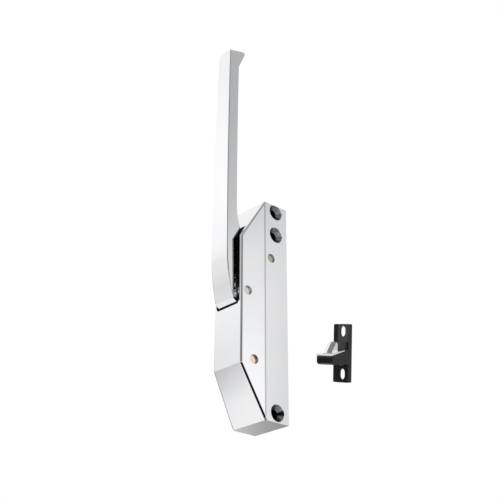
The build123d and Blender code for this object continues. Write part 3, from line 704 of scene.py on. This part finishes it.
def panel(stops):
    """Brightness of a tent panel by height, from 1 at the top of the sky to -1 straight down."""
    place = add(tree, "ShaderNodeMapRange", links={"Value": height}, values={"From Min": -1.0})
    ramp = add(tree, "ShaderNodeValToRGB", links={"Fac": place.outputs[0]})
    ends = ramp.color_ramp.elements
    while len(ends) < len(stops):
        ends.new(1.0)
    for end, (level_at, grey) in zip(ends, stops):
        end.position = (level_at + 1) / 2
        end.color = (grey / tent_scale,) * 3 + (1,)
    return ramp.outputs["Color"]


# The panels, each by its azimuth and the degrees from there to where it is whole and where it ends
tent = panel(front_panel)
for azimuth, near, far, stops in [(118.0, 18.0, 90.0, side_panel), (150.0, 18.6, 30.0, rear_panel)]:
    links = {"Factor": side_mask(azimuth, near, far), colour_a: tent, colour_b: panel(stops)}
    tent = add(tree, "ShaderNodeMix", links=links, data_type="RGBA").outputs[colour_out]

# Three seams, the gap and the opening, each with its azimuth and degrees, spans of height and grey
for azimuth, near, far, heights, grey in [
    # A faint seam from the floor to high up
    (141.0, 6.6, 8.6, [(0.5, 0.3, 0.0, 0.3)], 0.45),
    # A seam close to the floor
    (-138.0, 4.2, 7.6, [(-0.2, -0.25, 0.0, 1.0)], 0.3),
    # A narrow seam from about level to the top
    (124.5, 0.5, 7.1, [(-0.1, 0.2, 0.0, 0.46)], 0.02),
    # The dark gap on the plain side, about level
    (-96.0, 18.0, 34.0, [(0.4, 0.28, 0.0, 0.92), (-0.3, -0.15, 0.0, 1.0)], 0.02),
    # The dark opening, from above level to the top
    (46.0, 38.0, 66.0, [(0.0, 0.9, 0.9, 0.5), (0.13, 0.29, 0.0, 1.0)], 0.01),
]:
    links = {"Factor": tent_patch(azimuth, near, far, heights), colour_a: tent}
    values = {colour_b: (grey, grey, grey, 1)}
    mixed = add(tree, "ShaderNodeMix", links=links, values=values, data_type="RGBA")
    tent = mixed.outputs[colour_out]
rays = add(tree, "ShaderNodeLightPath")
seen = add(tree, "ShaderNodeBackground", values={"Color": pure_white, "Strength": 1.0})
felt = add(tree, "ShaderNodeBackground", links={"Color": tent}, values={"Strength": tent_scale})
both = add(
    tree,
    "ShaderNodeMixShader",
    links={"Fac": rays.outputs["Is Camera Ray"], 1: felt.outputs[0], 2: seen.outputs[0]},
)
add(tree, "ShaderNodeOutputWorld", links={"Surface": both.outputs[0]})

# Grey card ahead of the strike, level with its plate's lower half and its shelf's nose. Reflections
# see it, but not the camera.
card_width, card_height = 0.028, 0.0205
card_middle = strike_centre + strike_turn @ Vector((-0.0234, -0.0299, -0.0133))
card_facing = strike_turn @ Vector((-0.766, -0.643, 0.0)).normalized()
card_level = strike_turn @ Vector((0.643, -0.766, 0.0)).normalized()
bpy.ops.object.select_all(action="DESELECT")
bpy.ops.mesh.primitive_plane_add(size=1.0)
card = bpy.context.object
card.name = "strike_card"
card.matrix_world = (
    Matrix.Translation(card_middle)
    @ axes_turn(card_level, card_facing.cross(card_level), card_facing)
    @ Matrix.Diagonal((card_width, card_height, 1.0, 1.0))
)
card_material = start_material("grey_card", {"Base Color": linear("#8C8C8C"), "Roughness": 1.0})[0]
card.data.materials.append(card_material)
card.visible_camera = False

# Black cloth bent round the casing's foot, for the dark line along its lower bevel. Its axis is
# that edge, and it fades out towards its rims. Reflections see it, but not the camera.
cloth_radius, cloth_half_height, cloth_whole_height = 0.036, 0.03, 0.021
cloth_cut, cloth_fade_starts, cloth_fade_ends = 0.3, 0.66, 0.45  # in radii, along cloth_facing
cloth_shift = 0.0924  # in radii, along edge_way
edge_middle = Vector((0.0145, -0.0195, 0.0105))
edge_way = Vector((0.0, -0.481, 0.8766)).normalized()
bevel_facing = Vector((0.0, -0.8766, -0.481)).normalized()
cloth_facing = (bevel_facing + Vector((1.0, 0.0, 0.0))).normalized()
bpy.ops.object.select_all(action="DESELECT")
bpy.ops.mesh.primitive_cylinder_add(
    vertices=round_sides,
    radius=cloth_radius,
    depth=2 * cloth_half_height,
    end_fill_type="NOTHING",
)
cloth = bpy.context.object
cloth.name = "black_cloth"
bpy.ops.object.mode_set(mode="EDIT")
bpy.ops.mesh.select_all(action="DESELECT")
shape = bmesh.from_edit_mesh(cloth.data)
for face in shape.faces:
    face.select_set(face.calc_center_median().x < cloth_cut * cloth_radius)
bmesh.update_edit_mesh(cloth.data)
bpy.ops.mesh.delete(type="FACE")
bpy.ops.object.mode_set(mode="OBJECT")
cloth_middle = edge_middle + edge_way * cloth_shift * cloth_radius
cloth_turn = axes_turn(cloth_facing, edge_way.cross(cloth_facing), edge_way)
cloth.matrix_world = Matrix.Translation(cloth_middle) @ cloth_turn
material, tree, shader, place = start_material(
    "black_cloth", {"Base Color": linear("#0A0A0A"), "Roughness": 1.0}
)
sides = add(tree, "ShaderNodeSeparateXYZ", links={0: place}).outputs
up_or_down = add(tree, "ShaderNodeMath", links={0: sides["Z"]}, operation="ABSOLUTE").outputs[0]
whole = [
    add(
        tree,
        "ShaderNodeMapRange",
        links={"Value": along},
        values={"From Min": gone, "From Max": full},
        interpolation_type="SMOOTHSTEP",
    ).outputs[0]
    for along, gone, full in [
        (sides["X"], cloth_fade_ends * cloth_radius, cloth_fade_starts * cloth_radius),
        (up_or_down, cloth_half_height, cloth_whole_height),
    ]
]
mask = add(tree, "ShaderNodeMath", links={0: whole[0], 1: whole[1]}, operation="MULTIPLY")
clear = add(tree, "ShaderNodeBsdfTransparent")
mixed = add(
    tree,
    "ShaderNodeMixShader",
    links={"Fac": mask.outputs[0], 1: clear.outputs[0], 2: shader.outputs[0]},
)
to_surface(tree, mixed)
cloth.data.materials.append(material)
cloth.visible_camera = False

# Camera at the photograph's angle: azimuth, elevation and roll in degrees
azimuth, elevation, roll = (math.radians(a) for a in (48.28542, -25.72375, 0.16030))
camera_place = Vector((0.48948, -0.44601, -0.19748))
back = Vector(
    (
        math.sin(azimuth) * math.cos(elevation),
        -math.cos(azimuth) * math.cos(elevation),
        math.sin(elevation),
    )
)
level = Vector((math.cos(azimuth), math.sin(azimuth), 0.0))
upright = back.cross(level)
right = level * math.cos(roll) + upright * math.sin(roll)
up = upright * math.cos(roll) - level * math.sin(roll)
camera_data = bpy.data.cameras.new("camera")
camera_data.sensor_width = 36.0
camera_data.lens = 75.62
camera_data.clip_start = 0.01
camera_data.clip_end = 20.0
camera = bpy.data.objects.new("camera", camera_data)
bpy.context.scene.collection.objects.link(camera)
camera.matrix_world = Matrix.Translation(camera_place) @ axes_turn(right, up, back)
bpy.context.scene.camera = camera
bpy.context.scene.view_settings.view_transform = "Standard"
